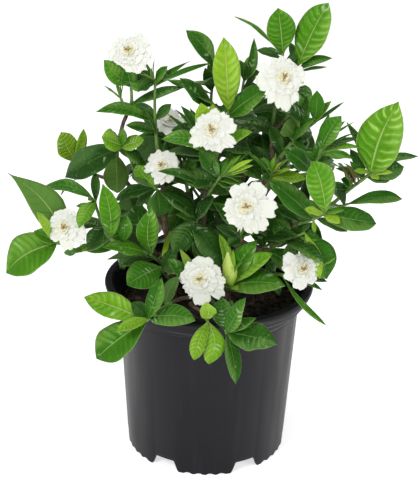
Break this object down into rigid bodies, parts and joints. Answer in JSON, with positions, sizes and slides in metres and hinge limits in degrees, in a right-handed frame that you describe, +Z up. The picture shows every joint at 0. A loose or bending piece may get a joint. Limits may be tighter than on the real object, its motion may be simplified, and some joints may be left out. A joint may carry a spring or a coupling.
{
  "type": "potted gardenia shrub",
  "caption": "Flowering gardenia shrub with double white blooms and glossy leaves, growing in a round black nursery pot that stands on short feet.",
  "frame": {"origin": "middle of the pot's base, on the ground", "axes": "+Z up along the pot's axis, -Y towards the side that the picture shows, +X to its right"},
  "size_m": [0.4665, 0.3545, 0.5481],
  "materials": {
    "pot": "moulded black plastic with a soft sheen",
    "potting_mix": "dark, crumbly bark and peat",
    "bark": "dull grey-brown bark",
    "foliage": "glossy dark green leaves, lime green when young",
    "petal": "soft white petals, cream at the heart",
    "bud": "waxy yellow-green bud"
  },
  "bodies": {
    "root": {"pot": "pot", "stem_trunk_left": "bark", "shoot_trunk_left": "foliage", "shoot_crown_left": "foliage", "shoot_left_high": "foliage", "shoot_left_mid": "foliage", "shoot_left_inner": "foliage", "shoot_left_out": "foliage", "shoot_rim_left": "foliage", "shoot_soil_left": "foliage", "stem_trunk_front": "bark", "shoot_trunk_front": "foliage", "shoot_front_left": "foliage", "shoot_front_lime": "foliage", "shoot_front_centre": "foliage", "shoot_front_flower": "foliage", "stem_trunk_centre": "bark", "shoot_trunk_centre": "foliage", "shoot_centre_low": "foliage", "shoot_top_left": "foliage", "shoot_crown_dark": "foliage", "shoot_centre_flower": "foliage", "shoot_back_flower": "foliage", "shoot_inner_flower": "foliage", "shoot_star_centre": "foliage", "stem_trunk_right": "bark", "shoot_trunk_right": "foliage", "shoot_right_mid": "foliage", "shoot_crown_right": "foliage", "shoot_far_right": "foliage", "shoot_right_lime": "foliage", "shoot_star_right": "foliage", "shoot_right_hero": "foliage", "shoot_right_rim": "foliage", "shoot_right_flower": "foliage", "shoot_middle_flower": "foliage", "stem_trunk_back": "bark", "shoot_trunk_back": "foliage", "shoot_inner_left": "foliage", "shoot_inner_centre": "foliage", "shoot_inner_right": "foliage", "shoot_inner_low_right": "foliage", "shoot_inner_low_left": "foliage", "shoot_back_left": "foliage", "shoot_back_right": "foliage", "shoot_back_middle": "foliage", "shoot_back_low_left": "foliage", "shoot_back_low_right": "foliage", "bloom_crown_left": "petal", "bloom_left_flower": "petal", "bud": "bud", "bloom_front_flower": "petal", "bloom_centre_flower": "petal", "bloom_back_flower": "petal", "bloom_inner_flower": "petal", "bloom_crown_flower": "petal", "bloom_right_flower": "petal", "bloom_middle_flower": "petal", "potting_mix": "potting_mix"}
  },
  "joints": []
}
